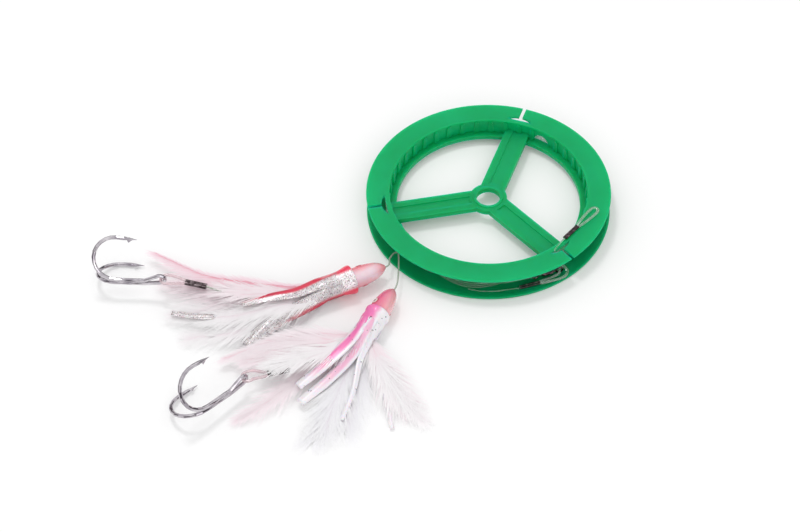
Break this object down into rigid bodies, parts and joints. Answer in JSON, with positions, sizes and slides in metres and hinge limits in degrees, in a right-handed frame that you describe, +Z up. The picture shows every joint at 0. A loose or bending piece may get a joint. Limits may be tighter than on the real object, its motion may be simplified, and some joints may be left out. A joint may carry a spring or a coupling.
{
  "type": "fishing rig spool",
  "caption": "Hand-line winder ring with wound line, an end loop and barrel swivel on its rim, and a ready-made rig of feathered double-hook lures.",
  "frame": {"origin": "on the spool's axis, in the plane of the lower flange's outer face that it lies on", "axes": "+Z up along the spool's axis; the lures trail from the rim towards -X and -Y"},
  "size_m": [0.313, 0.2604, 0.0368],
  "materials": {
    "spool_plastic": "translucent green moulded polypropylene, satin gloss",
    "clear_line": "clear nylon monofilament",
    "leader_line": "grey-green nylon monofilament",
    "clear_tube": "clear soft chafe tube over the line loop",
    "pink_tube": "clear pink-tinted chafe tube over the line loop",
    "sleeve_metal": "dark nickel-plated crimp sleeve",
    "swivel_metal": "black nickel-plated",
    "hook_steel": "bright tinned steel wire",
    "pearl_head": "pearl white-pink lacquered",
    "salmon_head": "pearl salmon-pink lacquered",
    "lure_eye": "domed clear resin over a light disc",
    "glitter_skirt": "soft clear vinyl with silver glitter and pink edges",
    "pink_skirt": "soft white vinyl with a pink stripe and dark specks",
    "thread": "red-pink tying thread",
    "feather": "white and pale pink hackle feathers"
  },
  "bodies": {
    "spool": {"spool_body": "spool_plastic", "wound_line": "clear_line", "end_line": "clear_line", "end_sleeve": "sleeve_metal", "end_loop": "clear_tube", "swivel_line": "clear_line", "swivel_sleeve": "sleeve_metal", "swivel_loop": "clear_tube", "swivel_eye_front": "swivel_metal", "swivel_tail": "clear_line", "leader_a": "leader_line", "leader_b": "leader_line", "head_a": "pearl_head", "head_b": "salmon_head", "lure_eyes_a": "lure_eye", "lure_eyes_b": "lure_eye", "skirt_a": "glitter_skirt", "skirt_b": "pink_skirt", "skirt_strips_a": "glitter_skirt", "skirt_strips_b": "pink_skirt", "thread_wrap_a": "thread", "thread_wrap_b": "thread", "feather_a_1": "feather", "feather_a_2": "feather", "feather_a_3": "feather", "feather_a_4": "feather", "feather_a_5": "feather", "feather_b_1": "feather", "feather_b_2": "feather", "feather_b_3": "feather", "feather_b_4": "feather", "feather_b_5": "feather", "lure_sleeve_a": "sleeve_metal", "lure_sleeve_b": "sleeve_metal", "hook_loop_a": "pink_tube", "hook_loop_b": "pink_tube"},
    "swivel_barrel": {"swivel_barrel": "swivel_metal"},
    "swivel_rear": {"swivel_eye_rear": "swivel_metal", "swivel_knot": "clear_line"},
    "hook_a": {"double_hook_a": "hook_steel"},
    "hook_b": {"double_hook_b": "hook_steel"}
  },
  "joints": [
    {"name": "swivel_barrel_turn", "type": "hinge", "parent": "spool", "child": "swivel_barrel", "pos_m": [0.03238, -0.05866, 0.0041], "axis": [0.9617, 0.274, 0], "continuous": true},
    {"name": "swivel_rear_turn", "type": "hinge", "parent": "swivel_barrel", "child": "swivel_rear", "pos_m": [0.03238, -0.05866, 0.0041], "axis": [0.9617, 0.274, 0], "continuous": true},
    {"name": "hook_a_lift", "type": "hinge", "parent": "spool", "child": "hook_a", "pos_m": [-0.1974, -0.0638, 0.0153], "axis": [0.0732, 0.9973, 0], "range_deg": [0, 75]},
    {"name": "hook_b_lift", "type": "hinge", "parent": "spool", "child": "hook_b", "pos_m": [-0.1468, -0.1393, 0.0124], "axis": [-0.6984, 0.7157, 0], "range_deg": [0, 75]}
  ]
}
